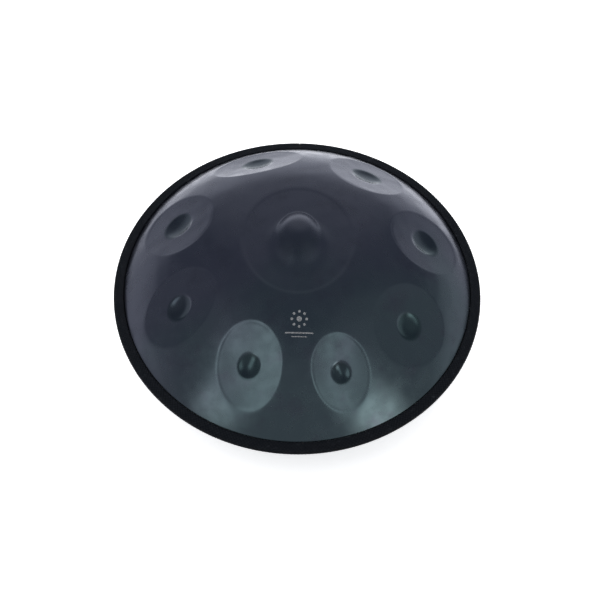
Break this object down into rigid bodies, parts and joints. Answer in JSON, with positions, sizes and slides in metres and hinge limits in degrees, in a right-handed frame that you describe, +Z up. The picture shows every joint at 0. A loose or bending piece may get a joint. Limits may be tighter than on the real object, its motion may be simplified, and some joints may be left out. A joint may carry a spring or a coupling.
{
  "type": "handpan",
  "caption": "Handpan: two bonded steel shells with a raised central note, a ring of dimpled tone fields, a port underneath and a braided band around the rim.",
  "frame": {"origin": "centre of the flat circle around the port that the handpan rests on, at the bottom of the part", "axes": "+Z up through the central note, -Y towards the two smallest tone fields, +X to their right"},
  "size_m": [0.536, 0.536, 0.2354],
  "materials": {
    "top_steel": "satin heat-coloured nitrided steel, blue grey with purple and green tints",
    "bottom_steel": "satin heat-coloured nitrided steel",
    "adhesive": "cured structural adhesive",
    "tape": "double-sided adhesive tape",
    "band": "braided black nylon",
    "thread": "black waxed thread"
  },
  "bodies": {
    "root": {"top_shell": "top_steel", "bottom_shell": "bottom_steel", "flange_adhesive": "adhesive", "band_tape": "tape", "rim_band": "band", "band_stitches": "thread"}
  },
  "joints": []
}
